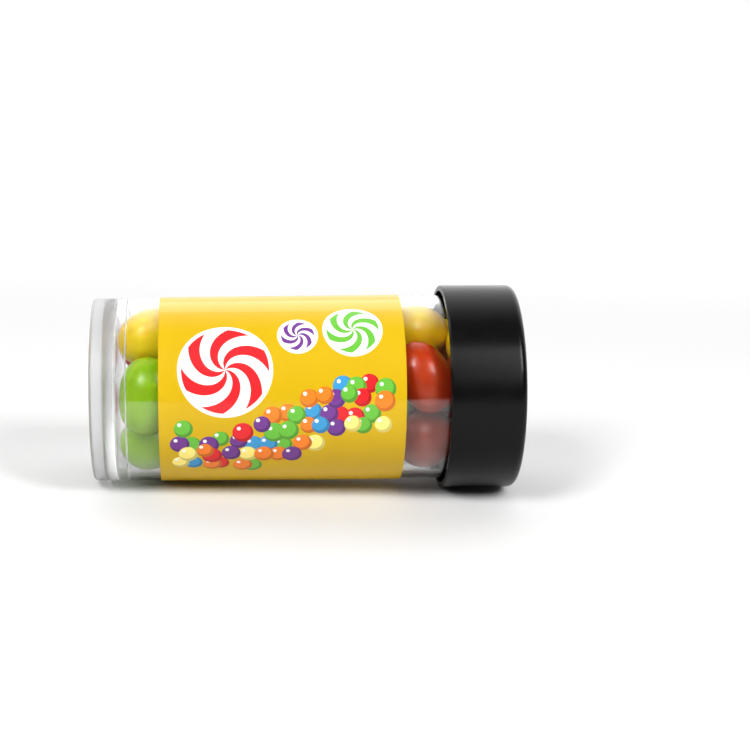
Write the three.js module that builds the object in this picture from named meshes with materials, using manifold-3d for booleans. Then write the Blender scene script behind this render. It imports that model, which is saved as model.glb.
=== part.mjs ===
// A clear plastic tube of jelly beans with a black lid and a wrap label, lying on its side.
// Lengths are in millimetres. Places along the tube are measured from its foot, the closed end.
import * as THREE from 'three'
import { mergeVertices } from 'three/addons/utils/BufferGeometryUtils.js'
import Module from 'manifold-3d'

// Clear tube
const FOOT_RADIUS = 22.0
const OUTER_DRAFT = 0.0062
const INNER_DRAFT = 0.0062
const BORE_RADIUS = 20.25
const MOUTH_AT = 100.2
const MOUTH_ROUNDING = 0.5
const FOOT_ROUNDING = 0.8
const RECESS_RADIUS = 19.9
const RECESS_DEPTH = 3.6
const RECESS_ROUNDING = 0.9
const FOOT_INNER_ROUNDING = 0.6
const FLOOR_AT = 5.6
const FLOOR_ROUNDING = 0.6
const SKIRT_RADIUS = 19.2
const SKIRT_TO = 8.5
const SKIRT_ROUNDING = 0.4

// Black lid
const LID_RIM_AT = 84.1
const LID_END_AT = 102.2
const LID_RADIUS = 24.9
const LID_WALL = 1.3
const LID_END_WALL = 1.6
const LID_END_ROUNDING = 1.8
const LID_RIM_ROUNDING = 0.45
const LID_INNER_ROUNDING = 0.8

// Wrap label
const LABEL_FROM = 16.0
const LABEL_TO = 73.8
const LABEL_GAP = 0.05
const LABEL_THICKNESS = 0.15

// Jelly beans
const BEAN_HALF_LENGTH = 9.4
const BEAN_HALF_WIDTH = 6.95
const BEAN_PLUMPNESS = 2.4
const BEAN_BEND = 0.5
const BEAN_UNEVENNESS = 0.05
const BEAN_ROUNDS = 10
const BEAN_STEPS = 6
const BEAN_ROOM = 6.85
const BEAN_END_REACH = 2.2
const WALL_GAP = 0.55
const BEAN_SEED = 1108
const RINGS = 6
const BEANS_IN_RING = 5
const FIRST_RING_AT = 13.0
const RING_PITCH = 16.3
const RING_RADIUS = 13.0
const FIRST_TURN = 14
const RING_STAGGER = 40
const PLACE_SHIFT = 1.6
const MOST_LEAN = 70
// First turns round the axis in the two rings that show beside the label, in degrees
const SET_TURNS = { 0: [14, 80, 145, 205, 270], 4: [162, 226, 290, 30, 100] }
// First leans of three beans that show there, in degrees from the axis, by ring and place
const SET_LEANS = { '0,0': 90, '4,2': 80, '4,3': -36 }
const SETTLING_ROUNDS = 400
const CORE_RADIUS = 9.6
const CORE_FROM = 11.0
const CORE_TO = 94.0
const CORE_SIDES = 14

// Resting attitude: the foot and the lid's rim lie on small flats, so the lid end is higher
const FLAT_DEPTH = 0.12
const SEGMENTS = 64
const ARC_STEPS = 4
const SMALL_ARC_STEPS = 2
const JOIN_DISTANCE = 1e-4

const wasm = await Module()
wasm.setup()

const radians = THREE.MathUtils.degToRad

function outerRadius(along) {
  return FOOT_RADIUS + OUTER_DRAFT * along
}

function boreRadius(along) {
  return BORE_RADIUS + INNER_DRAFT * along
}

// Height of the resting points differs by the lid's greater radius, which sets the tilt.
const footCentreRadius = outerRadius(FOOT_ROUNDING) - FOOT_ROUNDING
const rimCentreRadius = LID_RADIUS - LID_RIM_ROUNDING
const restSpan = LID_RIM_AT + LID_RIM_ROUNDING - FOOT_ROUNDING
const restRise = rimCentreRadius - footCentreRadius
const restReach = Math.hypot(restSpan, restRise)
const roundingRise = LID_RIM_ROUNDING - FOOT_ROUNDING
const TILT = Math.atan2(restRise, restSpan) + Math.asin(roundingRise / restReach)

const axisHeight =
  footCentreRadius * Math.cos(TILT) - FOOT_ROUNDING * Math.sin(TILT) + FOOT_ROUNDING - FLAT_DEPTH
const footReach = FOOT_ROUNDING * Math.cos(TILT) - footCentreRadius * Math.sin(TILT) - FOOT_ROUNDING
const endCentreAt = LID_END_AT - LID_END_ROUNDING
const endCentreRadius = LID_RADIUS - LID_END_ROUNDING
const endReach = endCentreAt * Math.cos(TILT) + endCentreRadius * Math.sin(TILT) + LID_END_ROUNDING
const middleAlong = (footReach + endReach) / 2

// The pieces are shaped in the tube's own axes, with X along it, and this group lays them on the ground.
const lying = new THREE.Group()
lying.rotation.y = -TILT
lying.position.set(-middleAlong, 0, axisHeight)
lying.updateMatrix()

// Revolves a profile of radius and place about the tube's axis, which runs along X.
function revolve(profile) {
  const geometry = new THREE.LatheGeometry(profile, SEGMENTS)
  geometry.rotateZ(-Math.PI / 2)
  return geometry
}

function corner(radius, along, rounding, fromDegrees, toDegrees, steps) {
  const points = []
  for (let step = 0; step <= steps; step++) {
    const turn = radians(THREE.MathUtils.lerp(fromDegrees, toDegrees, step / steps))
    points.push(new THREE.Vector2(radius + rounding * Math.cos(turn), along + rounding * Math.sin(turn)))
  }
  return points
}

function toSolid(geometry) {
  const plain = geometry.clone()
  plain.deleteAttribute('normal')
  plain.deleteAttribute('uv')
  const joined = mergeVertices(plain, JOIN_DISTANCE)
  const vertProperties = new Float32Array(joined.attributes.position.array)
  const triVerts = new Uint32Array(joined.index.array)
  return new wasm.Manifold(new wasm.Mesh({ numProp: 3, vertProperties, triVerts }))
}

function toGeometry(solid) {
  const mesh = solid.getMesh()
  const geometry = new THREE.BufferGeometry()
  geometry.setAttribute('position', new THREE.BufferAttribute(new Float32Array(mesh.vertProperties), 3))
  geometry.setIndex(new THREE.BufferAttribute(new Uint32Array(mesh.triVerts), 1))
  geometry.computeVertexNormals()
  return geometry
}

// Cuts the small flat on which a round piece rests, along the ground as the tube's axes see it.
function cutFlat(geometry) {
  const ground = new THREE.BoxGeometry(2 * LID_END_AT, 4 * LID_RADIUS, LID_RADIUS)
  ground.translate(0, 0, -LID_RADIUS / 2)
  ground.applyMatrix4(lying.matrix.clone().invert())
  return toGeometry(toSolid(geometry).subtract(toSolid(ground)))
}

function tubeProfile() {
  const mouthOuter = outerRadius(MOUTH_AT) - MOUTH_ROUNDING
  const mouthInner = boreRadius(MOUTH_AT) + MOUTH_ROUNDING
  const mouthCentre = MOUTH_AT - MOUTH_ROUNDING
  const skirtInner = SKIRT_RADIUS + SKIRT_ROUNDING
  const skirtCentre = SKIRT_TO - SKIRT_ROUNDING
  const floorCorner = SKIRT_RADIUS - FLOOR_ROUNDING
  const recessCorner = RECESS_RADIUS - RECESS_ROUNDING
  const recessCentre = RECESS_DEPTH - RECESS_ROUNDING
  const footInner = RECESS_RADIUS + FOOT_INNER_ROUNDING
  return [
    new THREE.Vector2(0, RECESS_DEPTH),
    ...corner(recessCorner, recessCentre, RECESS_ROUNDING, 90, 0, SMALL_ARC_STEPS),
    ...corner(footInner, FOOT_INNER_ROUNDING, FOOT_INNER_ROUNDING, 180, 270, SMALL_ARC_STEPS),
    ...corner(footCentreRadius, FOOT_ROUNDING, FOOT_ROUNDING, -90, 0, ARC_STEPS),
    ...corner(mouthOuter, mouthCentre, MOUTH_ROUNDING, 0, 90, SMALL_ARC_STEPS),
    ...corner(mouthInner, mouthCentre, MOUTH_ROUNDING, 90, 180, SMALL_ARC_STEPS),
    new THREE.Vector2(boreRadius(SKIRT_TO), SKIRT_TO),
    ...corner(skirtInner, skirtCentre, SKIRT_ROUNDING, 90, 180, SMALL_ARC_STEPS),
    ...corner(floorCorner, FLOOR_AT + FLOOR_ROUNDING, FLOOR_ROUNDING, 0, -90, SMALL_ARC_STEPS),
    new THREE.Vector2(0, FLOOR_AT),
  ]
}

function lidProfile() {
  const innerRadius = LID_RADIUS - LID_WALL
  const innerEnd = LID_END_AT - LID_END_WALL
  const innerCorner = innerRadius - LID_INNER_ROUNDING
  return [
    new THREE.Vector2(0, innerEnd),
    ...corner(innerCorner, innerEnd - LID_INNER_ROUNDING, LID_INNER_ROUNDING, 90, 0, SMALL_ARC_STEPS),
    new THREE.Vector2(innerRadius, LID_RIM_AT),
    ...corner(rimCentreRadius, LID_RIM_AT + LID_RIM_ROUNDING, LID_RIM_ROUNDING, -90, 0, SMALL_ARC_STEPS),
    ...corner(endCentreRadius, endCentreAt, LID_END_ROUNDING, 0, 90, ARC_STEPS),
    new THREE.Vector2(0, LID_END_AT),
  ]
}

function labelProfile() {
  const inner = (along) => new THREE.Vector2(outerRadius(along) + LABEL_GAP, along)
  const outer = (along) => new THREE.Vector2(outerRadius(along) + LABEL_GAP + LABEL_THICKNESS, along)
  return [inner(LABEL_FROM), outer(LABEL_FROM), outer(LABEL_TO), inner(LABEL_TO), inner(LABEL_FROM)]
}

// A repeatable run of numbers between -1 and 1
function seededSpread(seed) {
  let state = seed
  return () => {
    state = (state * 16807) % 2147483647
    return (2 * state) / 2147483647 - 1
  }
}

// A bean is held as its two end centres, in the tube's own axes, with its roll and size.
function startBean(key, along, radius, turn, spread) {
  const drawnLean = MOST_LEAN * spread()
  const lean = radians(SET_LEANS[key] ?? drawnLean)
  const shift = PLACE_SHIFT * spread()
  const roll = Math.PI * spread()
  const size = 1 - (BEAN_UNEVENNESS * (1 + spread())) / 2
  const outward = new THREE.Vector3(0, -Math.cos(turn), Math.sin(turn))
  const around = new THREE.Vector3(0, Math.sin(turn), Math.cos(turn))
  const axis = new THREE.Vector3(Math.cos(lean), 0, 0).addScaledVector(around, Math.sin(lean))
  const centre = new THREE.Vector3(along + shift, 0, 0).addScaledVector(outward, radius)
  const ends = [1, -1].map((side) => centre.clone().addScaledVector(axis, side * BEAN_END_REACH))
  return { ends, roll, size }
}

// Keeps an end centre inside the bore, the floor and the lid's end.
function keepInside(end) {
  const least = FLOOR_AT + WALL_GAP + BEAN_ROOM
  const most = LID_END_AT - LID_END_WALL - WALL_GAP - BEAN_ROOM
  end.x = THREE.MathUtils.clamp(end.x, least, most)
  const reach = boreRadius(end.x) - WALL_GAP - BEAN_ROOM
  const radius = Math.sqrt(end.y * end.y + end.z * end.z)
  if (radius > reach) {
    end.y *= reach / radius
    end.z *= reach / radius
  }
}

function pushApart(first, second) {
  const away = first.clone().sub(second)
  const distance = away.length()
  const overlap = 2 * BEAN_ROOM - distance
  if (overlap > 0) {
    away.multiplyScalar(overlap / 2 / distance)
    first.add(away)
    second.sub(away)
  }
}

// Holds a bean's end centres at their distance.
function holdLength(bean) {
  const [first, second] = bean.ends
  const span = first.clone().sub(second)
  const distance = span.length()
  span.multiplyScalar((2 * BEAN_END_REACH - distance) / 2 / distance)
  first.add(span)
  second.sub(span)
}

function settleBeans(beans) {
  for (let round = 0; round < SETTLING_ROUNDS; round++) {
    for (let one = 0; one < beans.length; one++) {
      for (let other = one + 1; other < beans.length; other++) {
        for (const first of beans[one].ends) {
          for (const second of beans[other].ends) {
            pushApart(first, second)
          }
        }
      }
    }
    for (const bean of beans) {
      holdLength(bean)
      bean.ends.forEach(keepInside)
    }
  }
}

// Staggered rings of beans along the wall, with one bean in the middle between two rings
function layBeans() {
  const spread = seededSpread(BEAN_SEED)
  const beans = []
  for (let ring = 0; ring < RINGS; ring++) {
    const along = FIRST_RING_AT + ring * RING_PITCH
    for (let place = 0; place < BEANS_IN_RING; place++) {
      const evenTurn = FIRST_TURN + ring * RING_STAGGER + (place * 360) / BEANS_IN_RING
      const turn = radians(SET_TURNS[ring]?.[place] ?? evenTurn)
      beans.push(startBean(`${ring},${place}`, along, RING_RADIUS, turn, spread))
    }
    if (ring < RINGS - 1) {
      const turn = Math.PI * spread()
      beans.push(startBean(`${ring},${BEANS_IN_RING}`, along + RING_PITCH / 2, PLACE_SHIFT, turn, spread))
    }
  }
  settleBeans(beans)
  return beans
}

// A plump, slightly bent bean with few sides, along Y
function beanShape() {
  const geometry = new THREE.SphereGeometry(1, BEAN_ROUNDS, BEAN_STEPS)
  const position = geometry.attributes.position
  const point = new THREE.Vector3()
  for (let index = 0; index < position.count; index++) {
    point.fromBufferAttribute(position, index)
    const side = Math.hypot(point.x, point.z)
    const power = Math.abs(point.y) ** BEAN_PLUMPNESS + side ** BEAN_PLUMPNESS
    point.multiplyScalar(power ** (-1 / BEAN_PLUMPNESS))
    const bend = BEAN_BEND * (point.y * point.y - 0.5)
    position.setXYZ(
      index,
      point.x * BEAN_HALF_WIDTH,
      point.y * BEAN_HALF_LENGTH,
      point.z * BEAN_HALF_WIDTH + bend,
    )
  }
  return geometry
}

function placeBean(shape, bean) {
  const [first, second] = bean.ends
  const axis = first.clone().sub(second).normalize()
  const turn = new THREE.Quaternion().setFromUnitVectors(new THREE.Vector3(0, 1, 0), axis)
  const centre = first.clone().add(second).multiplyScalar(0.5)
  const geometry = shape.clone()
  geometry.scale(bean.size, bean.size, bean.size)
  geometry.rotateY(bean.roll)
  geometry.applyQuaternion(turn)
  geometry.translate(centre.x, centre.y, centre.z)
  return geometry
}

// The beans as one body round a plain core, with any closed hollow between them filled
function heapGeometry() {
  const core = new THREE.CylinderGeometry(CORE_RADIUS, CORE_RADIUS, CORE_TO - CORE_FROM, CORE_SIDES)
  core.rotateZ(-Math.PI / 2)
  core.translate((CORE_FROM + CORE_TO) / 2, 0, 0)
  const shape = beanShape()
  let heap = toSolid(core)
  for (const bean of layBeans()) {
    heap = heap.add(toSolid(placeBean(shape, bean)))
  }
  const bodies = heap.decompose().sort((one, other) => other.volume() - one.volume())
  return toGeometry(bodies[0])
}

function addPiece(name, geometry, material) {
  const mesh = new THREE.Mesh(geometry, material)
  mesh.name = name
  lying.add(mesh)
}

const clearPlastic = new THREE.MeshStandardMaterial({
  name: 'clear_plastic',
  color: 0xeaf2f4,
  roughness: 0.08,
  transparent: true,
  opacity: 0.35,
})
const blackPlastic = new THREE.MeshStandardMaterial({ name: 'black_plastic', color: 0x1a1a1c, roughness: 0.35 })
const labelPrint = new THREE.MeshStandardMaterial({ name: 'label_print', color: 0xf8cb2c, roughness: 0.4 })
const sugarShell = new THREE.MeshStandardMaterial({ name: 'sugar_shell', color: 0xd8742a, roughness: 0.3 })

addPiece('tube', cutFlat(revolve(tubeProfile())), clearPlastic)
addPiece('lid', cutFlat(revolve(lidProfile())), blackPlastic)
addPiece('label', revolve(labelProfile()), labelPrint)
addPiece('jelly_beans', heapGeometry(), sugarShell)

const group = new THREE.Group()
group.name = 'jelly_bean_tube'
group.add(lying)

export default group
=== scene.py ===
"""Dresses a clear tube of jelly beans with a black lid and a yellow wrap label, lying on a pale floor."""

import logging
import math
from collections.abc import Mapping, Sequence
from dataclasses import dataclass, field, replace
from enum import Enum

import bmesh
import bpy
import numpy as np
from mathutils import Matrix, Vector


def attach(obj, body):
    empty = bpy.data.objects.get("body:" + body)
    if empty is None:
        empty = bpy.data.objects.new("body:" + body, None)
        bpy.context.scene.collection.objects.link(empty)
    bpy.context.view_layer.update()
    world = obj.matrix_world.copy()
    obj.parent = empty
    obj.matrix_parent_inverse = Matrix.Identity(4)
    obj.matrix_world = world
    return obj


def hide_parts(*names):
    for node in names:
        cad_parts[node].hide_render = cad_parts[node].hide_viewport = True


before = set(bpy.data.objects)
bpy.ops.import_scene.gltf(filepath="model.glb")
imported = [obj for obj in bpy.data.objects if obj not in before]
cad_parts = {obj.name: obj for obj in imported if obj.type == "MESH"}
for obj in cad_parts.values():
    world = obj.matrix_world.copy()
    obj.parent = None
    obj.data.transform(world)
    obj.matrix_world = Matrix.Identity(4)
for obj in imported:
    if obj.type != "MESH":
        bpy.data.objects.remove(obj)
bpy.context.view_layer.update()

MM = 0.001
BODY = "root"
FLAT_DEPTH = 0.12
SHARP_ANGLE = 50.0
UV_NAME = "wrap"
UV_UNIT = 100.0
TONE_NAME = "tone"
TOE_END = 0.04045
TOE_SLOPE = 12.92
CURVE_SHIFT = 0.055
CURVE_POWER = 2.4

Colour = tuple[float, float, float, float]
Place = tuple[float, float]
Point = list[float]
BeanKey = tuple[int, int]

log = logging.getLogger("jelly_bean_tube")


def srgb(red: int, green: int, blue: int) -> Colour:
    """Turns a screen colour into the linear colour that shaders work with.

    Args:
        red: Red from 0 to 255.
        green: Green from 0 to 255.
        blue: Blue from 0 to 255.

    Returns:
        The linear colour with full alpha.
    """
    parts = []
    for value in (red / 255, green / 255, blue / 255):
        if value <= TOE_END:
            parts.append(value / TOE_SLOPE)
        else:
            parts.append(((value + CURVE_SHIFT) / (1 + CURVE_SHIFT)) ** CURVE_POWER)
    return parts[0], parts[1], parts[2], 1.0


class Slot(Enum):
    """The record's material slots."""

    CLEAR_PLASTIC = "clear_plastic"
    BLACK_PLASTIC = "black_plastic"
    LABEL_PRINT = "label_print"
    SUGAR_SHELL = "sugar_shell"


class BeanColour(Enum):
    """The colours that the beans come in."""

    YELLOW = srgb(255, 213, 14)
    GREEN = srgb(158, 203, 8)
    RED = srgb(205, 24, 30)
    ORANGE = srgb(250, 104, 32)
    TAWNY = srgb(201, 61, 0)
    CORAL = srgb(182, 67, 46)
    CREAM = srgb(244, 232, 204)
    BLACK = srgb(34, 26, 26)


class Linking(Enum):
    """Which pieces a light is linked to, among those that a collection names."""

    THESE = "INCLUDE"
    ALL_OTHERS = "EXCLUDE"


class Ink(Enum):
    """The inks of the label's print."""

    WHITE = srgb(252, 250, 244)
    RED = srgb(222, 38, 44)
    GREEN = srgb(104, 184, 62)
    BLUE = srgb(62, 150, 204)
    VIOLET = srgb(112, 58, 140)
    LEMON = srgb(255, 236, 130)
    ORANGE = srgb(240, 128, 40)


class Value:
    """A number that varies over a surface, held as a node's output and used in Python sums."""

    def __init__(self, nodes: "Nodes", socket: bpy.types.NodeSocket) -> None:
        """Keeps the output and the tree that it belongs to.

        Args:
            nodes: The tree.
            socket: The output socket that gives the number.
        """
        self.nodes = nodes
        self.socket = socket

    def math(self, operation: str, *others: "Value | float", clamp: bool = False) -> "Value":
        """Adds a Math node with this value first.

        Args:
            operation: The Math node's operation.
            others: The values that follow this one.
            clamp: Whether the result is kept between 0 and 1.

        Returns:
            The node's result.
        """
        return self.nodes.math(operation, self, *others, clamp=clamp)

    def __add__(self, other: "Value | float") -> "Value":
        """Adds."""
        return self.math("ADD", other)

    __radd__ = __add__

    def __sub__(self, other: "Value | float") -> "Value":
        """Subtracts."""
        return self.math("SUBTRACT", other)

    def __rsub__(self, other: float) -> "Value":
        """Subtracts from a number."""
        return self.nodes.math("SUBTRACT", other, self)

    def __mul__(self, other: "Value | float") -> "Value":
        """Multiplies."""
        return self.math("MULTIPLY", other)

    __rmul__ = __mul__

    def __truediv__(self, other: "Value | float") -> "Value":
        """Divides."""
        return self.math("DIVIDE", other)

    def __rtruediv__(self, other: float) -> "Value":
        """Divides a number."""
        return self.nodes.math("DIVIDE", other, self)

    def __abs__(self) -> "Value":
        """Drops the sign."""
        return self.math("ABSOLUTE")

    def below(self, edge: "Value | float", soft: float) -> "Value":
        """Marks where the value is below an edge.

        Args:
            edge: The edge.
            soft: Width over which the mark fades.

        Returns:
            One below the edge and zero above it.
        """
        return ((edge - self) / soft).math("ADD", 0.5, clamp=True)

    def span(self, other: "Value") -> "Value":
        """Length of a line that runs this far one way and the other value's length across it."""
        return (self * self + other * other).math("SQRT")


class Nodes:
    """A node tree that is filled from Python, with the numbers of a Mix node's colour sockets."""

    FIRST_COLOUR = 6
    SECOND_COLOUR = 7
    MIXED_COLOUR = 2

    def __init__(self, tree: bpy.types.NodeTree) -> None:
        """Takes a tree and empties it."""
        self.tree = tree
        self.tree.nodes.clear()

    def node(
        self, kind: str, settings: Mapping[str, object], sockets: Mapping[str | int, object]
    ) -> bpy.types.Node:
        """Adds a node of any type.

        Args:
            kind: The node's type.
            settings: Its settings, which are set first.
            sockets: Values or links of its input sockets.

        Returns:
            The node.
        """
        node = self.tree.nodes.new(kind)
        for name, setting in settings.items():
            setattr(node, name, setting)
        for key, value in sockets.items():
            self.feed(node.inputs[key], value)
        return node

    def feed(self, target: bpy.types.NodeSocket, value: object) -> None:
        """Links a value to an input, or sets it as the input's own number.

        Args:
            target: The input socket.
            value: A Value, an output socket or a plain setting.
        """
        source = value.socket if isinstance(value, Value) else value
        if isinstance(source, bpy.types.NodeSocket):
            self.tree.links.new(source, target)
        else:
            target.default_value = source

    def math(self, operation: str, *values: "Value | float", clamp: bool = False) -> Value:
        """Adds a Math node.

        Args:
            operation: The node's operation.
            values: Its inputs in order.
            clamp: Whether the result is kept between 0 and 1.

        Returns:
            The node's result.
        """
        settings = {"operation": operation, "use_clamp": clamp}
        node = self.node("ShaderNodeMath", settings, dict(enumerate(values)))
        return Value(self, node.outputs[0])

    def mix(
        self, share: Value | float, first: object, second: object, blend: str = "MIX"
    ) -> bpy.types.NodeSocket:
        """Mixes two colours.

        Args:
            share: How much of the second colour shows.
            first: The first colour or its output.
            second: The second colour or its output.
            blend: How the second colour goes on the first.

        Returns:
            The mixed colour's output.
        """
        settings = {"data_type": "RGBA", "blend_type": blend}
        sockets = {0: share, self.FIRST_COLOUR: first, self.SECOND_COLOUR: second}
        return self.node("ShaderNodeMix", settings, sockets).outputs[self.MIXED_COLOUR]

    def split(self, vector: bpy.types.NodeSocket) -> tuple[Value, Value, Value]:
        """Splits a vector into its three numbers."""
        across, toward, up = self.node("ShaderNodeSeparateXYZ", {}, {0: vector}).outputs
        return Value(self, across), Value(self, toward), Value(self, up)


class Shade(Nodes):
    """The nodes of one material with a Principled shader."""

    PLAIN = 2.0
    RICH = 3.0

    def __init__(self, name: str, **constants: object) -> None:
        """Makes the material and its shader.

        Args:
            name: The material's name.
            constants: The shader's own socket values, with underscores for spaces.
        """
        self.material = bpy.data.materials.new(name)
        self.material.use_nodes = True
        super().__init__(self.material.node_tree)
        named = {key.replace("_", " "): value for key, value in constants.items()}
        self.shader = self.node("ShaderNodeBsdfPrincipled", {}, named)
        self.node("ShaderNodeOutputMaterial", {}, {"Surface": self.shader.outputs["BSDF"]})

    def set(self, socket: str, value: object) -> None:
        """Feeds one of the shader's inputs."""
        self.feed(self.shader.inputs[socket], value)

    def place(self) -> bpy.types.NodeSocket:
        """The place on the piece in metres."""
        return self.node("ShaderNodeTexCoord", {}, {}).outputs["Object"]

    def wrap(self) -> tuple[Value, Value]:
        """The place along the tube's axis in millimetres, and the turn round it from 0 to 1."""
        along, turn, _ = self.split(self.node("ShaderNodeUVMap", {"uv_map": UV_NAME}, {}).outputs[0])
        return along * UV_UNIT, turn

    def noise(self, size: float, detail: float = PLAIN) -> Value:
        """Adds smooth noise over the piece.

        Args:
            size: Size of its patches in millimetres.
            detail: How many finer layers it has.

        Returns:
            The noise, about one half on average.
        """
        sockets = {"Vector": self.place(), "Scale": 1 / (size * MM), "Detail": detail}
        return Value(self, self.node("ShaderNodeTexNoise", {}, sockets).outputs[0])

    def bump(self, height: Value, depth: float) -> None:
        """Feeds the shader's normal with a bump.

        Args:
            height: The height over the surface.
            depth: The height's reach in millimetres.
        """
        sockets = {"Height": height, "Distance": depth * MM}
        self.set("Normal", self.node("ShaderNodeBump", {}, sockets).outputs[0])


@dataclass(frozen=True)
class ClearPlastic:
    """Clear polished plastic with faint smears, hazy toward the foot."""

    tint: Colour = (0.985, 0.99, 0.99, 1.0)
    foot_tint: Colour = (0.87, 0.875, 0.88, 1.0)
    refraction: float = 1.49
    polish: float = 0.012
    smear: float = 0.03
    smear_size: float = 9.0
    smear_edge: float = 0.56
    smear_fade: float = 0.12
    foot_haze: float = 0.36
    skirt_haze: float = 0.08
    haze_edge: float = 0.5

    def material(self, tube: "ClearTube") -> bpy.types.Material:
        """Makes the material.

        Args:
            tube: The tube, which sets where the haze ends.

        Returns:
            The material.
        """
        shade = Shade("clear_plastic", IOR=self.refraction, Transmission_Weight=1.0)
        along, _ = shade.wrap()
        foot = along.below(tube.floor, self.haze_edge)
        skirt = along.below(tube.skirt_end, self.haze_edge)
        smears = 1 - shade.noise(self.smear_size, Shade.RICH).below(self.smear_edge, self.smear_fade)
        haze = foot * (self.foot_haze - self.skirt_haze) + skirt * self.skirt_haze
        shade.set("Base Color", shade.mix(foot, self.tint, self.foot_tint))
        shade.set("Roughness", smears * self.smear + haze + self.polish)
        return shade.material


@dataclass(frozen=True)
class BlackPlastic:
    """Black moulded plastic with a satin skin."""

    colour: Colour = srgb(5, 5, 6)
    handled: Colour = srgb(10, 10, 11)
    refraction: float = 1.45
    shine: float = 0.18
    roughness: float = 0.2
    unevenness: float = 0.1
    patch_size: float = 6.0
    grain_size: float = 0.35
    grain_depth: float = 0.008

    def material(self) -> bpy.types.Material:
        """Makes the material."""
        shade = Shade("black_plastic", IOR=self.refraction, Specular_IOR_Level=self.shine)
        patches = shade.noise(self.patch_size, Shade.RICH)
        shade.set("Base Color", shade.mix(patches, self.colour, self.handled))
        shade.set("Roughness", patches * self.unevenness + self.roughness)
        shade.bump(shade.noise(self.grain_size), self.grain_depth)
        return shade.material


@dataclass(frozen=True)
class SugarShell:
    """The polished, slightly see-through sugar shell of a bean."""

    refraction: float = 1.48
    roughness: float = 0.2
    unevenness: float = 0.08
    tone_reach: float = 0.4
    mottle_reach: float = 0.3
    mottle_size: float = 3.2
    peel_size: float = 1.3
    peel_depth: float = 0.03
    deepening: float = 1.3
    glow: float = 0.65
    glow_reach: float = 3.0
    glow_colours: tuple[float, float, float] = (1.0, 0.6, 0.4)

    def material(self, colour: BeanColour) -> bpy.types.Material:
        """Makes the material of one colour of bean.

        Args:
            colour: The bean's colour.

        Returns:
            The material.
        """
        shade = Shade(
            f"sugar_shell_{colour.name.lower()}",
            IOR=self.refraction,
            Subsurface_Weight=self.glow,
            Subsurface_Radius=self.glow_colours,
            Subsurface_Scale=self.glow_reach * MM,
        )
        attribute = shade.node("ShaderNodeAttribute", {"attribute_name": TONE_NAME}, {})
        tone = Value(shade, attribute.outputs["Fac"])
        mottle = shade.noise(self.mottle_size, Shade.RICH)
        deep = tuple(part**self.deepening for part in colour.value)
        depth = tone * self.tone_reach + (mottle - 0.5) * self.mottle_reach * 2
        shade.set("Base Color", shade.mix(depth.math("MAXIMUM", 0.0), colour.value, deep))
        shade.set("Roughness", mottle * self.unevenness + self.roughness)
        shade.bump(shade.noise(self.peel_size), self.peel_depth)
        return shade.material


@dataclass(frozen=True)
class Swirl:
    """One printed round sweet: its place and radius on the label in millimetres, and its ink."""

    along: float
    height: float
    radius: float
    ink: Ink
    blades: int = 6
    twist: float = 1.63
    blade_soft: float = 0.12

    def centre(self) -> Place:
        """The sweet's place along the label and round the tube."""
        return self.along, self.height


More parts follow.
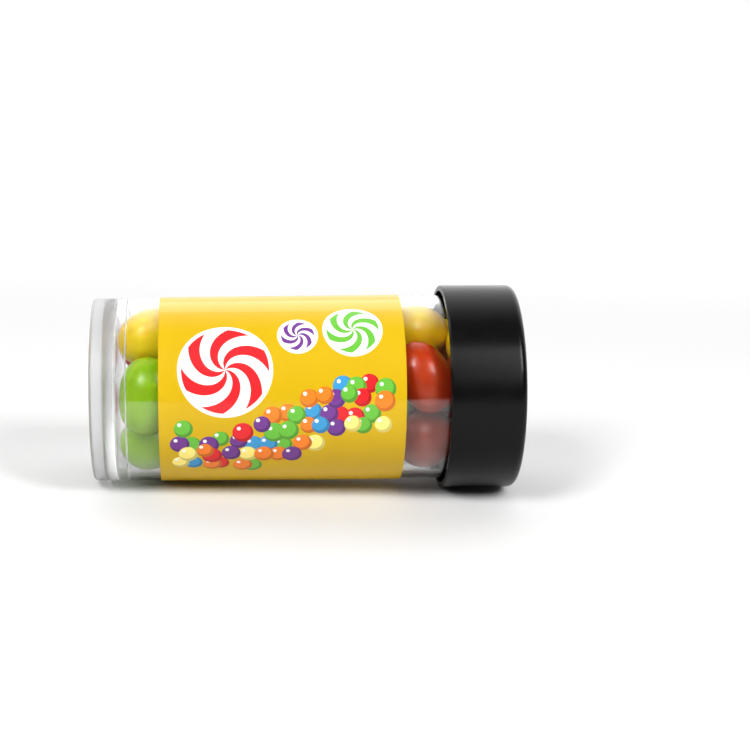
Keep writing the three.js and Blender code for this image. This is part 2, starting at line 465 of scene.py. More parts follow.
@dataclass(frozen=True)
class LabelPrint:
    """The label's yellow print: swirled sweets over a heap of round ones, twice round the tube."""

    ground: Colour = srgb(210, 174, 19)
    deep_ground: Colour = srgb(203, 163, 11)
    dots: tuple[Ink, ...] = (Ink.RED, Ink.GREEN, Ink.BLUE, Ink.VIOLET, Ink.LEMON, Ink.ORANGE)
    swirls: tuple[Swirl, ...] = (
        Swirl(15.5, 4.5, 10.2, Ink.RED),
        Swirl(45.5, 14.5, 6.2, Ink.GREEN),
        Swirl(32.5, 13.0, 3.9, Ink.VIOLET),
    )
    soft: float = 0.1
    repeats: int = 2
    front_turn: float = 15.0
    rim: float = 0.9
    layers: tuple[Place, ...] = ((0.0, 0.0), (101.5, 70.3), (57.75, 143.5), (166.25, 31.3))
    dot_pitch: float = 7.0
    dot_radius: float = 2.5
    dot_shrink: float = 0.5
    dot_scatter: float = 0.28
    dot_margin: float = 3.6
    dot_gap: float = 0.6
    lit_place: Place = (-0.35, 0.45)
    shaded_edge: float = 0.62
    shaded_width: float = 0.3
    glint_place: Place = (-0.95, 1.05)
    glint_radius: float = 0.45
    sharp: float = 0.0002
    ribbon_middle: float = -10.0
    ribbon_swing: float = 6.0
    ribbon_period: float = 84.0
    ribbon_start: float = 31.0
    ribbon_reach: float = 6.8
    refraction: float = 1.45
    shine: float = 0.12
    roughness: float = 0.4
    unevenness: float = 0.08
    drift_size: float = 14.0
    gloss: float = 0.35
    gloss_roughness: float = 0.06

    def places(self, shade: Shade, label: "WrapLabel", tube: "ClearTube") -> tuple[Value, Value]:
        """Finds where on the print a point lies.

        Args:
            shade: The material's nodes.
            label: The label that carries the print.
            tube: The tube that the label is wrapped round.

        Returns:
            The distance from the label's left edge and the height round the tube, in millimetres.
        """
        along, turn = shade.wrap()
        period = 2 * math.pi * tube.outer_radius(label.start) / self.repeats
        share = ((turn - self.front_turn / 360) * self.repeats + 0.5).math("FRACT") - 0.5
        return along - label.start, share * period

    def distance(self, along: Value, height: Value, centre: Place) -> Value:
        """Distance of each point from one place on the print, in millimetres."""
        return (along - centre[0]).span(height - centre[1])

    def add_swirl(
        self, shade: Shade, colour: object, along: Value, height: Value, swirl: Swirl
    ) -> bpy.types.NodeSocket:
        """Prints a round sweet with its curved blades.

        Args:
            shade: The material's nodes.
            colour: The colour under it.
            along: Place along the label.
            height: Place round the tube.
            swirl: The sweet.

        Returns:
            The colour with the sweet on it.
        """
        distance = self.distance(along, height, swirl.centre())
        angle = (height - swirl.height).math("ARCTAN2", along - swirl.along)
        wave = ((angle + distance * (swirl.twist / swirl.radius)) * swirl.blades).math("SINE")
        white = Ink.WHITE.value
        blades = shade.mix(wave.below(0.0, swirl.blade_soft), white, swirl.ink.value)
        edged = shade.mix(distance.below(swirl.radius, self.soft), white, blades)
        return shade.mix(distance.below(swirl.radius + self.rim, self.soft), colour, edged)

    def dots_shown(self, along: Value, height: Value, label: "WrapLabel") -> Value:
        """Marks the small round sweets whose middles lie in the heap and clear of the swirled ones.

        Args:
            along: Place of each sweet's middle along the label.
            height: Its place round the tube.
            label: The label that carries the print.

        Returns:
            One for those that show and zero for the rest.
        """
        wave = ((along - self.ribbon_start) * (2 * math.pi / self.ribbon_period)).math("SINE")
        off_middle = abs(height - (wave * self.ribbon_swing + self.ribbon_middle))
        half = (label.end - label.start) / 2
        shown = off_middle.below(self.ribbon_reach, self.sharp)
        shown = shown * abs(along - half).below(half - self.dot_margin, self.sharp)
        for swirl in self.swirls:
            reach = swirl.radius + self.rim + self.dot_radius + self.dot_gap
            shown = shown * (1 - self.distance(along, height, swirl.centre()).below(reach, self.sharp))
        return shown

    def dot_ink(self, shade: Shade, draw: Value) -> bpy.types.NodeSocket:
        """Gives each small round sweet one of the inks.

        Args:
            shade: The material's nodes.
            draw: A number from 0 to 1 for each sweet.

        Returns:
            The ink's colour.
        """
        ink = self.dots[0].value
        for place, other in enumerate(self.dots[1:], start=1):
            ink = shade.mix(1 - draw.below(place / len(self.dots), self.sharp), ink, other.value)
        return ink

    def add_dots(
        self,
        shade: Shade,
        colour: object,
        along: Value,
        height: Value,
        label: "WrapLabel",
        shift: Place,
    ) -> bpy.types.NodeSocket:
        """Prints one layer of the heap of round sweets, each with a shaded edge and a small glint.

        Args:
            shade: The material's nodes.
            colour: The colour under them.
            along: Place along the label.
            height: Place round the tube.
            label: The label that carries the print.
            shift: How far the layer is moved along the label and round the tube.

        Returns:
            The colour with the sweets on it.
        """
        sockets = {0: (along + shift[0]) / self.dot_pitch, 1: (height + shift[1]) / self.dot_pitch}
        cells = shade.node(
            "ShaderNodeTexVoronoi",
            {"voronoi_dimensions": "2D", "feature": "F1"},
            {
                "Vector": shade.node("ShaderNodeCombineXYZ", {}, sockets).outputs[0],
                "Scale": 1.0,
                "Randomness": self.dot_scatter,
            },
        )
        cell_along, cell_height, _ = shade.split(cells.outputs["Position"])
        cell_along = cell_along * self.dot_pitch - shift[0]
        cell_height = cell_height * self.dot_pitch - shift[1]
        draw, size_draw, _ = shade.split(cells.outputs["Color"])
        shown = self.dots_shown(cell_along, cell_height, label)
        across = along - cell_along
        rise = height - cell_height
        radius = self.dot_radius - size_draw * self.dot_shrink
        ink = self.dot_ink(shade, draw)
        shadow = (self.shaded_edge, self.shaded_edge, self.shaded_edge, 1.0)
        dark = shade.mix(1.0, ink, shadow, "MULTIPLY")
        lit = self.distance(across, rise, self.lit_place).below(radius - self.shaded_width, self.soft)
        rounded = shade.mix(lit, dark, ink)
        glint = self.distance(across, rise, self.glint_place).below(self.glint_radius, self.soft)
        glossy = shade.mix(glint, rounded, Ink.WHITE.value)
        return shade.mix(across.span(rise).below(radius, self.soft) * shown, colour, glossy)

    def material(self, label: "WrapLabel", tube: "ClearTube") -> bpy.types.Material:
        """Makes the print.

        Args:
            label: The label that carries it.
            tube: The tube that the label is wrapped round.

        Returns:
            The material.
        """
        shade = Shade(
            "label_print",
            IOR=self.refraction,
            Specular_IOR_Level=self.shine,
            Coat_Weight=self.gloss,
            Coat_Roughness=self.gloss_roughness,
        )
        along, height = self.places(shade, label, tube)
        drift = shade.noise(self.drift_size)
        colour = shade.mix(drift, self.ground, self.deep_ground)
        for shift in self.layers:
            colour = self.add_dots(shade, colour, along, height, label, shift)
        for swirl in self.swirls:
            colour = self.add_swirl(shade, colour, along, height, swirl)
        shade.set("Base Color", colour)
        shade.set("Roughness", drift * self.unevenness + self.roughness)
        return shade.material


@dataclass(frozen=True)
class PaperBack:
    """The label's plain white back and edges."""

    colour: Colour = srgb(243, 240, 232)
    fibre: Colour = srgb(228, 224, 214)
    fibre_size: float = 0.5
    roughness: float = 0.7

    def material(self) -> bpy.types.Material:
        """Makes the material."""
        shade = Shade("paper_back", Roughness=self.roughness)
        shade.set("Base Color", shade.mix(shade.noise(self.fibre_size), self.colour, self.fibre))
        return shade.material


@dataclass(frozen=True)
class PaleFloor:
    """The floor's pale matt surface."""

    colour: Colour = (0.74, 0.74, 0.74, 1.0)
    shaded: Colour = (0.72, 0.72, 0.72, 1.0)
    patch_size: float = 400.0
    roughness: float = 0.75
    shine: float = 0.2

    def material(self) -> bpy.types.Material:
        """Makes the material."""
        shade = Shade("pale_floor", Roughness=self.roughness, Specular_IOR_Level=self.shine)
        shade.set("Base Color", shade.mix(shade.noise(self.patch_size), self.colour, self.shaded))
        return shade.material


class Outline:
    """A profile of a round piece as points of radius and place along the axis, in millimetres."""

    HOLD = 0.12
    LONG_RUN = 4 * HOLD
    ARC_STEPS = 8

    def __init__(self) -> None:
        """Starts with no points."""
        self.points: list[Place] = []

    def to(self, radius: float, along: float) -> "Outline":
        """Runs straight to a point, with close points at both ends of a long run.

        Args:
            radius: The point's radius.
            along: Its place along the axis.

        Returns:
            The outline itself.
        """
        if self.points:
            last = self.points[-1]
            out, onward = radius - last[0], along - last[1]
            length = math.hypot(out, onward)
            if length > self.LONG_RUN:
                for share in (self.HOLD / length, 1 - self.HOLD / length):
                    self.points.append((last[0] + out * share, last[1] + onward * share))
        self.points.append((radius, along))
        return self

    def corner(self, radius: float, along: float, rounding: float, start: float, end: float) -> "Outline":
        """Runs to a rounded corner and round it.

        Args:
            radius: Radius at which the corner's centre lies.
            along: Place of the corner's centre.
            rounding: The corner's own radius.
            start: First angle in degrees, 0 outward and 90 toward the lid.
            end: Last angle in degrees.

        Returns:
            The outline itself.
        """
        for step in range(self.ARC_STEPS + 1):
            turn = math.radians(start + (end - start) * step / self.ARC_STEPS)
            point = (radius + rounding * math.cos(turn), along + rounding * math.sin(turn))
            if step == 0:
                self.to(*point)
            else:
                self.points.append(point)
        return self


@dataclass
class ClearTube:
    """The clear tube with its recessed foot, in millimetres from the foot along the axis."""

    foot_radius: float = 22.0
    draft: float = 0.0062
    bore: float = 20.25
    mouth: float = 100.2
    mouth_rounding: float = 0.5
    foot_rounding: float = 0.8
    recess_radius: float = 19.9
    recess_depth: float = 3.6
    recess_rounding: float = 0.9
    foot_inner_rounding: float = 0.6
    floor: float = 5.6
    floor_rounding: float = 0.6
    skirt_radius: float = 19.2
    skirt_end: float = 8.5
    skirt_rounding: float = 0.4
    finish: ClearPlastic = field(default_factory=ClearPlastic)

    def outer_radius(self, along: float) -> float:
        """Outer radius at a place along the axis."""
        return self.foot_radius + self.draft * along

    def bore_radius(self, along: float) -> float:
        """Inner radius at a place along the axis."""
        return self.bore + self.draft * along

    def foot_centre(self) -> float:
        """Radius at which the centre of the foot's rounded edge lies."""
        return self.outer_radius(self.foot_rounding) - self.foot_rounding

    def outline(self) -> Outline:
        """The tube's profile, from the recess round to the floor."""
        mouth_centre = self.mouth - self.mouth_rounding
        mouth_outer = self.outer_radius(self.mouth) - self.mouth_rounding
        mouth_inner = self.bore_radius(self.mouth) + self.mouth_rounding
        recess_corner = self.recess_radius - self.recess_rounding
        recess_centre = self.recess_depth - self.recess_rounding
        foot_inner = self.recess_radius + self.foot_inner_rounding
        skirt_inner = self.skirt_radius + self.skirt_rounding
        skirt_centre = self.skirt_end - self.skirt_rounding
        floor_centre = self.floor + self.floor_rounding
        outline = Outline().to(0.0, self.recess_depth)
        outline.corner(recess_corner, recess_centre, self.recess_rounding, 90, 0)
        outline.corner(foot_inner, self.foot_inner_rounding, self.foot_inner_rounding, 180, 270)
        outline.corner(self.foot_centre(), self.foot_rounding, self.foot_rounding, -90, 0)
        outline.corner(mouth_outer, mouth_centre, self.mouth_rounding, 0, 90)
        outline.corner(mouth_inner, mouth_centre, self.mouth_rounding, 90, 180)
        outline.to(self.bore_radius(self.skirt_end), self.skirt_end)
        outline.corner(skirt_inner, skirt_centre, self.skirt_rounding, 90, 180)
        outline.corner(self.skirt_radius - self.floor_rounding, floor_centre, self.floor_rounding, 0, -90)
        return outline.to(0.0, self.floor)

    def build(self, lying: "Lying") -> bpy.types.Object:
        """Makes the tube as it lies."""
        return revolve("clear_tube", self.outline(), lying)

    def dress(self, piece: bpy.types.Object) -> None:
        """Gives the tube its finish."""
        settle_in(piece, "tube", Slot.CLEAR_PLASTIC, self.finish.material(self))


@dataclass
class Lid:
    """The black lid that overhangs the mouth, in millimetres from the foot along the axis."""

    rim: float = 84.1
    end: float = 102.2
    radius: float = 24.9
    wall: float = 1.3
    end_wall: float = 1.6
    end_rounding: float = 1.8
    rim_rounding: float = 0.45
    inner_rounding: float = 0.8
    finish: BlackPlastic = field(default_factory=BlackPlastic)

    def inner_end(self) -> float:
        """Place of the inside of the lid's end."""
        return self.end - self.end_wall

    def rim_centre(self) -> float:
        """Radius at which the centre of the rim's rounded edge lies."""
        return self.radius - self.rim_rounding

    def outline(self) -> Outline:
        """The lid's profile, from inside its end round to the outside."""
        inner = self.radius - self.wall
        inner_corner = self.inner_end() - self.inner_rounding
        outline = Outline().to(0.0, self.inner_end())
        outline.corner(inner - self.inner_rounding, inner_corner, self.inner_rounding, 90, 0)
        outline.to(inner, self.rim)
        outline.corner(self.rim_centre(), self.rim + self.rim_rounding, self.rim_rounding, -90, 0)
        end_corner = self.radius - self.end_rounding
        outline.corner(end_corner, self.end - self.end_rounding, self.end_rounding, 0, 90)
        return outline.to(0.0, self.end)

    def build(self, lying: "Lying") -> bpy.types.Object:
        """Makes the lid as it lies."""
        return revolve("black_lid", self.outline(), lying)

    def dress(self, piece: bpy.types.Object) -> None:
        """Gives the lid its finish."""
        settle_in(piece, "lid", Slot.BLACK_PLASTIC, self.finish.material())


@dataclass
class WrapLabel:
    """The printed label round the tube, in millimetres from the foot along the axis."""

    start: float = 16.0
    end: float = 73.8
    gap: float = 0.05
    thickness: float = 0.15
    print_finish: LabelPrint = field(default_factory=LabelPrint)
    back_finish: PaperBack = field(default_factory=PaperBack)

    def build(self, tube: ClearTube, lying: "Lying") -> bpy.types.Object:
        """Makes the label as it lies.

        Args:
            tube: The tube that it is wrapped round.
            lying: How the tube lies.

        Returns:
            The label, with its printed faces in the first material.
        """
        outline = Outline()
        for along, layer in ((self.start, 0.0), (self.start, 1.0), (self.end, 1.0), (self.end, 0.0)):
            outline.to(tube.outer_radius(along) + self.gap + layer * self.thickness, along)
        outline.to(*outline.points[0])
        return revolve("wrap_label", outline, lying)

    def dress(self, piece: bpy.types.Object, tube: ClearTube, lying: "Lying") -> None:
        """Gives the label its print outside and plain paper elsewhere.

        Args:
            piece: The label.
            tube: The tube that it is wrapped round.
            lying: How the tube lies.
        """
        finishes = (self.print_finish.material(self, tube), self.back_finish.material())
        settle_in(piece, "label", Slot.LABEL_PRINT, *finishes)
        for face in piece.data.polygons:
            place = lying.lift(np.array([face.center[:]]) / MM)[0]
            middle = tube.outer_radius(place[0]) + self.gap + self.thickness / 2
            face.material_index = 0 if math.hypot(place[1], place[2]) > middle else 1


@dataclass
class Lying:
    """Lays the tube's own axes, with X along it from the foot, on the ground as it rests."""

    tilt: float
    middle: float
    height: float

    @classmethod
    def on_rims(cls, tube: ClearTube, lid: Lid) -> "Lying":
        """Rests the tube on its foot and its lid's rim.

        Args:
            tube: The tube.
            lid: The lid.

        Returns:
            How the tube lies.
        """
        span = lid.rim + lid.rim_rounding - tube.foot_rounding
        rise = lid.rim_centre() - tube.foot_centre()
        rounding_rise = lid.rim_rounding - tube.foot_rounding
        tilt = math.atan2(rise, span) + math.asin(rounding_rise / math.hypot(span, rise))
        lean, upright = math.sin(tilt), math.cos(tilt)
        rounding = tube.foot_rounding
        height = tube.foot_centre() * upright - rounding * lean + rounding - FLAT_DEPTH
        foot_reach = rounding * upright - tube.foot_centre() * lean - rounding
        end_radius = lid.radius - lid.end_rounding
        end_reach = (lid.end - lid.end_rounding) * upright + end_radius * lean + lid.end_rounding
        return cls(tilt, (foot_reach + end_reach) / 2, height)

    def lay(self, points: np.ndarray) -> np.ndarray:
        """Moves points from the tube's axes to the ground's, both in millimetres."""
        along, toward, up = points.T
        lean, upright = math.sin(self.tilt), math.cos(self.tilt)
        across = along * upright - up * lean - self.middle
        return np.stack([across, toward, along * lean + up * upright + self.height], 1)

    def lift(self, points: np.ndarray) -> np.ndarray:
        """Moves points from the ground's axes back to the tube's, both in millimetres."""
        across, toward, up = (points + np.array([self.middle, 0, -self.height])).T
        lean, upright = math.sin(self.tilt), math.cos(self.tilt)
        return np.stack([across * upright + up * lean, toward, up * upright - across * lean], 1)


def settle_in(piece: bpy.types.Object, node: str, slot: Slot, *finishes: bpy.types.Material) -> None:
    """Gives a piece its finishes and lets it ride on the frame in place of a node.

    Args:
        piece: The piece.
        node: The frame's node that it stands for.
        slot: The record's slot of its finish; not used.
        finishes: Its materials.
    """
    for finish in finishes:
        piece.data.materials.append(finish)
    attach(piece, BODY)
    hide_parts(node)
    log.info("%s stands for %s with %d faces", piece.name, node, len(piece.data.polygons))


def add_object(name: str, mesh: bpy.types.Mesh) -> bpy.types.Object:
    """Adds a mesh to the scene."""
    piece = bpy.data.objects.new(name, mesh)
    bpy.context.scene.collection.objects.link(piece)
    return piece


def revolve(name: str, outline: Outline, lying: Lying, segments: int = 256) -> bpy.types.Object:
    """Turns a profile about the tube's axis and lays the piece on the ground.

    Args:
        name: The piece's name.
        outline: The profile.
        lying: How the tube lies.
        segments: Number of steps round the axis.

    Returns:
        The piece, with a map of the place along the axis and the turn round it.
    """
    turns = np.arange(segments) * (2 * math.pi / segments)
    rings: list[list[int]] = []
    blocks: list[np.ndarray] = []
    count = 0
    closed = outline.points[0] == outline.points[-1]
    profile = outline.points[:-1] if closed else outline.points
    for radius, along in profile:
        steps = turns if radius > 0 else turns[:1]
        block = np.stack([np.full(len(steps), along), -radius * np.cos(steps), radius * np.sin(steps)], 1)
        blocks.append(block)
        rings.append(list(range(count, count + len(steps))))
        count += len(steps)
    if closed:
        rings.append(rings[0])
    faces: list[list[int]] = []
    places: list[Place] = []
    for row in range(len(rings) - 1):
        first, second = rings[row], rings[row + 1]
        along_first, along_second = outline.points[row][1], outline.points[row + 1][1]
        for step in range(segments):
            after = (step + 1) % segments
            start, end = step / segments, (step + 1) / segments
            face = [first[step % len(first)], second[step % len(second)]]
            place = [(along_first, start), (along_second, start)]
            if len(second) > 1:
                face.append(second[after])
                place.append((along_second, end))
            if len(first) > 1:
                face.append(first[after])
                place.append((along_first, end))
            faces.append(face)
            places.extend((along / UV_UNIT, turn) for along, turn in place)
    points = lying.lay(np.concatenate(blocks))
    points[:, 2] = np.maximum(points[:, 2], 0.0)
    mesh = bpy.data.meshes.new(name)
    mesh.from_pydata((points * MM).tolist(), [], faces)
    mesh.uv_layers.new(name=UV_NAME).data.foreach_set("uv", np.array(places, np.float32).ravel())
    face_outward(mesh)
    return add_object(name, mesh)


def face_outward(mesh: bpy.types.Mesh) -> None:
    """Turns a closed mesh's faces outward and shades them smooth but for sharp edges."""
    work = bmesh.new()
    work.from_mesh(mesh)
    bmesh.ops.recalc_face_normals(work, faces=work.faces)
    work.to_mesh(mesh)
    work.free()
    mesh.shade_smooth()
    mesh.set_sharp_from_angle(angle=math.radians(SHARP_ANGLE))


class Spread:
    """A repeatable run of numbers between -1 and 1."""

    MULTIPLIER = 16807
    MODULUS = 2147483647

    def __init__(self, seed: int) -> None:
        """Starts the run from a seed."""
        self.state = seed

    def next(self) -> float:
        """The run's next number."""
        self.state = self.state * self.MULTIPLIER % self.MODULUS
        return 2 * self.state / self.MODULUS - 1


@dataclass
class Bean:
    """One bean: its two end centres in the tube's axes, its roll and its size."""

    ends: tuple[Point, Point]
    roll: float
    size: float

    def centre(self) -> np.ndarray:
        """Middle between the end centres."""
        return (np.array(self.ends[0]) + np.array(self.ends[1])) / 2

    def turned(self, points: np.ndarray) -> np.ndarray:
        """Rolls a bean's points about its length, Y, and lays the length along the end centres."""
        flat, slope = math.cos(self.roll), math.sin(self.roll)
        across, along, up = points.T
        rolled = np.stack([across * flat + up * slope, along, up * flat - across * slope], 1)
        axis = np.array(self.ends[0]) - np.array(self.ends[1])
        axis /= np.linalg.norm(axis)
        turn = Vector((0, 1, 0)).rotation_difference(Vector(axis)).to_matrix()
        return rolled @ np.array(turn).T


def set_apart(first: Point, second: Point, wanted: float, only_push: bool) -> None:
    """Moves two points along their line to a wanted distance.

    Args:
        first: One point, which is changed.
        second: The other point, which is changed.
        wanted: The distance between them.
        only_push: Whether points that are further apart stay where they are.
    """
    away = [first[axis] - second[axis] for axis in range(3)]
    distance = math.sqrt(away[0] * away[0] + away[1] * away[1] + away[2] * away[2])
    lacking = wanted - distance
    if only_push and lacking <= 0:
        return
    for axis in range(3):
        move = away[axis] * (lacking / 2 / distance)
        first[axis] += move
        second[axis] -= move


@dataclass
class BeanHeap:
    """The jelly beans that fill the tube, in staggered rings pushed apart until they fit."""

    half_length: float = 9.4
    half_width: float = 6.95
    plumpness: float = 2.25
    bend: float = 0.5
    bend_middle: float = 0.5
    unevenness: float = 0.05
    room: float = 6.85
    end_reach: float = 2.2
    wall_gap: float = 0.55
    seed: int = 1108
    rings: int = 6
    beans_in_ring: int = 5
    first_ring: float = 13.0
    ring_pitch: float = 16.3
    ring_radius: float = 13.0
    first_turn: float = 14.0
    ring_stagger: float = 40.0
    place_shift: float = 1.6
    most_lean: float = 70.0
    settling_rounds: int = 400
    colour_seed: int = 6593
    rounds: int = 48
    steps: int = 24
    dent: float = 0.014
    dent_waves: tuple[tuple[int, float, float], ...] = ((0, 2.4, 2.9), (2, 3.1, 2.2))
    dent_shift: float = 3.0
    finish: SugarShell = field(default_factory=SugarShell)
    set_turns: Mapping[int, tuple[float, ...]] = field(
        default_factory=lambda: {0: (14, 80, 145, 205, 270), 4: (162, 226, 290, 30, 100)}
    )
    set_leans: Mapping[BeanKey, float] = field(
        default_factory=lambda: {(0, 0): 90.0, (4, 2): 80.0, (4, 3): -36.0}
    )
    shown: Mapping[BeanColour, tuple[BeanKey, ...]] = field(
        default_factory=lambda: {
            BeanColour.YELLOW: ((0, 1), (4, 4), (5, 3), (5, 4)),
            BeanColour.GREEN: ((0, 0), (0, 4), (3, 5)),
            BeanColour.RED: ((0, 2), (5, 0)),
            BeanColour.TAWNY: ((4, 3),),
            BeanColour.CORAL: ((0, 3), (4, 1), (4, 2), (4, 5)),
        }
    )

    def start_bean(self, key: BeanKey, along: float, radius: float, turn: float, spread: Spread) -> Bean:
        """Puts a bean in its first place.

        Args:
            key: The bean's ring and place.
            along: Place along the tube.
            radius: Distance from the axis.
            turn: Angle round the axis in radians, 0 toward the front.
            spread: The run of numbers that varies it.

        Returns:
            The bean.
        """
        drawn_lean = self.most_lean * spread.next()
        lean = math.radians(self.set_leans.get(key, drawn_lean))
        shift = self.place_shift * spread.next()
        roll = math.pi * spread.next()
        size = 1 - self.unevenness * (1 + spread.next()) / 2
        reach = self.end_reach * math.cos(lean)
        swing = self.end_reach * math.sin(lean)
        ends = []
        for side in (1, -1):
            toward = -math.cos(turn) * radius + side * swing * math.sin(turn)
            up = math.sin(turn) * radius + side * swing * math.cos(turn)
            ends.append([along + shift + side * reach, toward, up])
        return Bean((ends[0], ends[1]), roll, size)

    def keep_inside(self, end: Point, tube: ClearTube, lid: Lid) -> None:
        """Keeps an end centre inside the bore, the floor and the lid's end."""
        least = tube.floor + self.wall_gap + self.room
        most = lid.inner_end() - self.wall_gap - self.room
        end[0] = max(least, min(most, end[0]))
        reach = tube.bore_radius(end[0]) - self.wall_gap - self.room
        radius = math.sqrt(end[1] * end[1] + end[2] * end[2])
        if radius > reach:
            end[1] *= reach / radius
            end[2] *= reach / radius

    def lay(self, tube: ClearTube, lid: Lid) -> dict[BeanKey, Bean]:
        """Lays all beans in their rings and lets them settle.

        Args:
            tube: The tube that holds them.
            lid: The lid that closes it.

        Returns:
            The beans by ring and place, with the middle bean last in each ring.
        """
        spread = Spread(self.seed)
        beans: dict[BeanKey, Bean] = {}
        for ring in range(self.rings):
            along = self.first_ring + ring * self.ring_pitch
            for place in range(self.beans_in_ring):
                key = (ring, place)
                turn = self.first_turn + ring * self.ring_stagger + place * 360 / self.beans_in_ring
                if ring in self.set_turns:
                    turn = self.set_turns[ring][place]
                beans[key] = self.start_bean(key, along, self.ring_radius, math.radians(turn), spread)
            if ring < self.rings - 1:
                key = (ring, self.beans_in_ring)
                turn = math.pi * spread.next()
                between = along + self.ring_pitch / 2
                beans[key] = self.start_bean(key, between, self.place_shift, turn, spread)
        self.settle(list(beans.values()), tube, lid)
        return beans

    def settle(self, beans: Sequence[Bean], tube: ClearTube, lid: Lid) -> None:
        """Pushes the beans apart, round after round, until they fit.

        Args:
            beans: The beans in their first places.
            tube: The tube that holds them.
            lid: The lid that closes it.
        """
        for _ in range(self.settling_rounds):
            for number, bean in enumerate(beans):
                for other in beans[number + 1 :]:
                    for first in bean.ends:
                        for second in other.ends:
                            set_apart(first, second, 2 * self.room, True)
            for bean in beans:
                set_apart(*bean.ends, 2 * self.end_reach, False)
                for end in bean.ends:
                    self.keep_inside(end, tube, lid)

    def shape(self, spread: Spread) -> np.ndarray:
        """Makes the points of one plump, slightly bent and dented bean along Y.

        Args:
            spread: The run of numbers that varies its dents.

        Returns:
            The points, the first pole first and the last pole last.
        """
        polar = np.linspace(0, math.pi, self.steps + 1)[1:-1]
        around = np.arange(self.rounds) * (2 * math.pi / self.rounds)
        polar, around = np.meshgrid(polar, around, indexing="ij")
        rows = np.stack([np.sin(polar) * np.cos(around), np.cos(polar), np.sin(polar) * np.sin(around)], -1)
        unit = np.concatenate([[[0, 1, 0]], rows.reshape(-1, 3), [[0, -1, 0]]])
        side = np.hypot(unit[:, 0], unit[:, 2])
        power = np.abs(unit[:, 1]) ** self.plumpness + side**self.plumpness
        points = unit * power[:, None] ** (-1 / self.plumpness)
        waves = np.zeros(len(unit))
        for axis, cross_rate, long_rate in self.dent_waves:
            cross_wave = np.sin(cross_rate * unit[:, axis] + self.dent_shift * spread.next())
            waves += cross_wave * np.sin(long_rate * unit[:, 1] + self.dent_shift * spread.next())
        points *= 1 + self.dent * (waves[:, None] - 1)
        bow = self.bend * (points[:, 1] ** 2 - self.bend_middle)
        points *= np.array([self.half_width, self.half_length, self.half_width])
        points[:, 2] += bow
        return points

    def faces(self) -> list[list[int]]:
        """The faces of one bean."""
        last = 1 + self.rounds * (self.steps - 1)
        faces = []
        for step in range(self.rounds):
            after = (step + 1) % self.rounds
            faces.append([0, 1 + after, 1 + step])
            base = last - self.rounds
            faces.append([last, base + step, base + after])
            for row in range(self.steps - 2):
                near, far = 1 + row * self.rounds, 1 + (row + 1) * self.rounds
                faces.append([near + step, near + after, far + after, far + step])
        return faces

    def colours(self, beans: Mapping[BeanKey, Bean]) -> dict[BeanKey, BeanColour]:
        """Draws each bean's colour, but for those whose colour is set.

        Args:
            beans: The beans by ring and place.

        Returns:
            The colours by ring and place.
        """
        spread = Spread(self.colour_seed)
        palette = list(BeanColour)
        set_colours = {key: colour for colour, keys in self.shown.items() for key in keys}
        drawn = {}
        for key in beans:
            number = int((spread.next() + 1) / 2 * len(palette)) % len(palette)
            drawn[key] = set_colours.get(key, palette[number])
        return drawn

    def build(self, tube: ClearTube, lid: Lid, lying: Lying) -> dict[BeanColour, bpy.types.Object]:
        """Makes the beans, one joined piece for each colour.

        Args:
            tube: The tube that holds them.
            lid: The lid that closes it.
            lying: How the tube lies.

        Returns:
            The pieces by colour.
        """
        beans = self.lay(tube, lid)
        colours = self.colours(beans)
        spread = Spread(self.colour_seed)
        shapes = {key: self.shape(spread) * bean.size for key, bean in beans.items()}
        tones = {key: (spread.next() + 1) / 2 for key in beans}
        bean_points = len(next(iter(shapes.values())))
        bean_faces = self.faces()
        pieces = {}
        for colour in BeanColour:
            keys = [key for key in beans if colours[key] is colour]
            if not keys:
                continue
            points = [beans[key].turned(shapes[key]) + beans[key].centre() for key in keys]
            faces = []
            for number in range(len(keys)):
                start = number * bean_points
                faces.extend([start + corner for corner in face] for face in bean_faces)
            name = f"beans_{colour.name.lower()}"
            mesh = bpy.data.meshes.new(name)
            mesh.from_pydata((lying.lay(np.concatenate(points)) * MM).tolist(), [], faces)
            tone = np.repeat([tones[key] for key in keys], bean_points).astype(np.float32)
            mesh.attributes.new(TONE_NAME, "FLOAT", "POINT").data.foreach_set("value", tone)
            face_outward(mesh)
            pieces[colour] = add_object(name, mesh)
        return pieces

    def dress(self, pieces: Mapping[BeanColour, bpy.types.Object]) -> None:
        """Gives each colour of beans its shell."""
        for colour, piece in pieces.items():
            settle_in(piece, "jelly_beans", Slot.SUGAR_SHELL, self.finish.material(colour))


@dataclass(frozen=True)
class Softbox:
    """A soft studio light, with its place and size in millimetres."""

    name: str
    place: tuple[float, float, float]
    aim: tuple[float, float, float]
    width: float
    height: float
    power: float
    spread: float = 180.0

    def build(self) -> bpy.types.Object:
        """Adds the light, turned to what it is aimed at.

        Returns:
            The light's object.
        """
        lamp = bpy.data.lights.new(self.name, "AREA")
        lamp.shape = "RECTANGLE"
        lamp.size = self.width * MM
        lamp.size_y = self.height * MM
        lamp.energy = self.power
        lamp.spread = math.radians(self.spread)
        light = bpy.data.objects.new(self.name, lamp)
        light.location = Vector(self.place) * MM
        toward = Vector(self.aim) - Vector(self.place)
        light.rotation_euler = toward.to_track_quat("-Z", "Y").to_euler()
        bpy.context.scene.collection.objects.link(light)
        return light


def linking_group(name: str, pieces: Sequence[bpy.types.Object], linking: Linking) -> bpy.types.Collection:
    """Makes a collection that links lights to some pieces or to all others.

    Args:
        name: The collection's name.
        pieces: The pieces that it names.
        linking: Whether the light is linked to these or to all others.

    Returns:
        The collection.
    """
    group = bpy.data.collections.new(name)
    for piece in pieces:
        group.objects.link(piece)
    for member in group.collection_objects:
        member.light_linking.link_state = linking.value
    return group


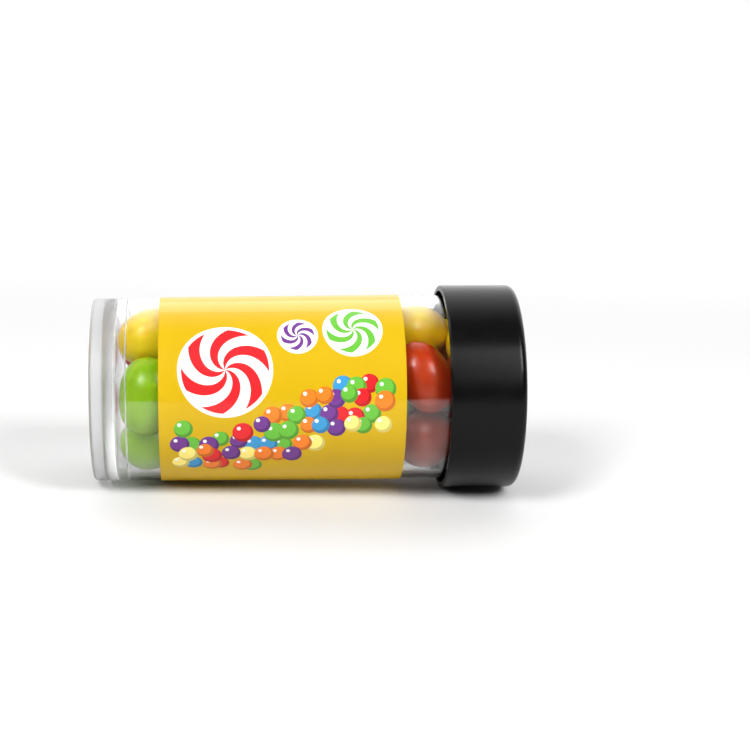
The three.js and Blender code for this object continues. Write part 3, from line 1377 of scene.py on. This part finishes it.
@dataclass
class Studio:
    """The pale floor and the soft light."""

    floor_size: float = 40000.0
    floor_drop: float = 0.05
    glow_colour: Colour = (1.0, 1.0, 1.0, 1.0)
    front_glow: float = 0.04
    back_glow: float = 1.7
    glow_edge: float = 0.3
    glow_fade: float = 0.5
    floor_finish: PaleFloor = field(default_factory=PaleFloor)
    keys: tuple[Softbox, ...] = (
        Softbox("left_light", (-430, -500, 620), (0, 0, 20), 260, 420, 6.2),
        Softbox("right_light", (500, -500, 620), (0, 0, 20), 260, 420, 6.35),
    )
    key_shares: tuple[float, ...] = (1.55, 1.7)
    far_light: Softbox = Softbox("far_light", (0, 1750, 450), (0, 1750, 0), 6000, 2900, 41.0, 50.0)
    lid_lights: tuple[Softbox, ...] = (
        Softbox("lid_light", (250, -615, 538), (42, 0, 22), 200, 600, 1.8),
        Softbox("rim_light", (-350, 60, 720), (33, 0, 40), 160, 520, 2.5),
    )
    label_lights: tuple[Softbox, ...] = (
        Softbox("band_light", (-6, 689, 621), (-6, 0, 43), 260, 465, 1.0),
    )

    def build(
        self,
        tube_piece: bpy.types.Object,
        lid_piece: bpy.types.Object,
        label_piece: bpy.types.Object,
        bean_pieces: Sequence[bpy.types.Object],
    ) -> None:
        """Adds the floor, the surround and the lights.

        Args:
            tube_piece: The tube, which a share of the key lights passes to the beans.
            lid_piece: The lid, which has lights of its own.
            label_piece: The label, which that share passes too, and which has a light of its own.
            bean_pieces: The beans.
        """
        self.build_floor()
        self.build_surround()
        self.far_light.build()
        shell_passed = linking_group("shell_passed", (tube_piece, label_piece), Linking.ALL_OTHERS)
        beans_alone = linking_group("beans_alone", bean_pieces, Linking.THESE)
        for key, share in zip(self.keys, self.key_shares):
            key.build()
            inner = replace(key, name=f"{key.name}_inner", power=share).build()
            inner.light_linking.receiver_collection = beans_alone
            inner.light_linking.blocker_collection = shell_passed
            inner.visible_transmission = False
        for piece, own_lights in ((lid_piece, self.lid_lights), (label_piece, self.label_lights)):
            group = linking_group(f"{piece.name}_alone", (piece,), Linking.THESE)
            for light in own_lights:
                light.build().light_linking.receiver_collection = group

    def build_floor(self) -> None:
        """Adds the floor just under the tube."""
        half = self.floor_size / 2 * MM
        drop = -self.floor_drop * MM
        corners = [(-half, -half, drop), (half, -half, drop), (half, half, drop), (-half, half, drop)]
        mesh = bpy.data.meshes.new("floor")
        mesh.from_pydata(corners, [], [[0, 1, 2, 3]])
        mesh.materials.append(self.floor_finish.material())
        add_object("floor", mesh)

    def build_surround(self) -> None:
        """Adds a white surround that is bright behind the tube and dim in front."""
        world = bpy.data.worlds.new("surround")
        world.use_nodes = True
        nodes = Nodes(world.node_tree)
        _, backward, _ = nodes.split(nodes.node("ShaderNodeTexCoord", {}, {}).outputs["Generated"])
        front = backward.below(self.glow_edge, self.glow_fade)
        glow = front * (self.front_glow - self.back_glow) + self.back_glow
        background = nodes.node("ShaderNodeBackground", {}, {"Color": self.glow_colour, "Strength": glow})
        nodes.node("ShaderNodeOutputWorld", {}, {"Surface": background.outputs[0]})
        bpy.context.scene.world = world
        bpy.context.scene.view_settings.view_transform = "Standard"


@dataclass
class PhotoCamera:
    """A camera placed as the photograph's was, in millimetres and degrees."""

    lens: float = 84.08
    sensor: float = 36.0
    distance: float = 430.17
    elevation: float = 15.0
    swing: float = 5.764
    roll: float = -2.916
    aside: float = -18.008
    above: float = -5.684
    looked_at: float = 50.0
    nearest: float = 10.0

    def build(self, lying: Lying) -> None:
        """Adds the camera and makes it the scene's.

        Args:
            lying: How the tube lies.
        """
        swing, rise, roll = (math.radians(angle) for angle in (self.swing, self.elevation, self.roll))
        right = Vector((math.cos(swing), -math.sin(swing), 0))
        level = Vector((math.sin(swing), math.cos(swing), 0))
        up = level * math.sin(rise) + Vector((0, 0, math.cos(rise)))
        back = Vector((0, 0, math.sin(rise))) - level * math.cos(rise)
        target = Vector((self.looked_at - lying.middle, 0, lying.height))
        place = (target - right * self.aside - up * self.above + back * self.distance) * MM
        rolled_right = right * math.cos(roll) - up * math.sin(roll)
        rolled_up = right * math.sin(roll) + up * math.cos(roll)
        lens = bpy.data.cameras.new("photo_camera")
        lens.lens = self.lens
        lens.sensor_width = self.sensor
        lens.clip_start = self.nearest * MM
        camera = bpy.data.objects.new("photo_camera", lens)
        turn = Matrix((rolled_right, rolled_up, back)).transposed()
        camera.matrix_world = Matrix.Translation(place) @ turn.to_4x4()
        bpy.context.scene.collection.objects.link(camera)
        bpy.context.scene.camera = camera


def main() -> None:
    """Builds and dresses each piece, then the studio and the camera."""
    logging.basicConfig(level=logging.INFO, format="%(message)s")
    tube = ClearTube()
    lid = Lid()
    label = WrapLabel()
    heap = BeanHeap()
    lying = Lying.on_rims(tube, lid)
    clear_piece = tube.build(lying)
    tube.dress(clear_piece)
    lid_piece = lid.build(lying)
    lid.dress(lid_piece)
    label_piece = label.build(tube, lying)
    label.dress(label_piece, tube, lying)
    bean_pieces = heap.build(tube, lid, lying)
    heap.dress(bean_pieces)
    Studio().build(clear_piece, lid_piece, label_piece, list(bean_pieces.values()))
    PhotoCamera().build(lying)


if __name__ == "__main__":
    main()
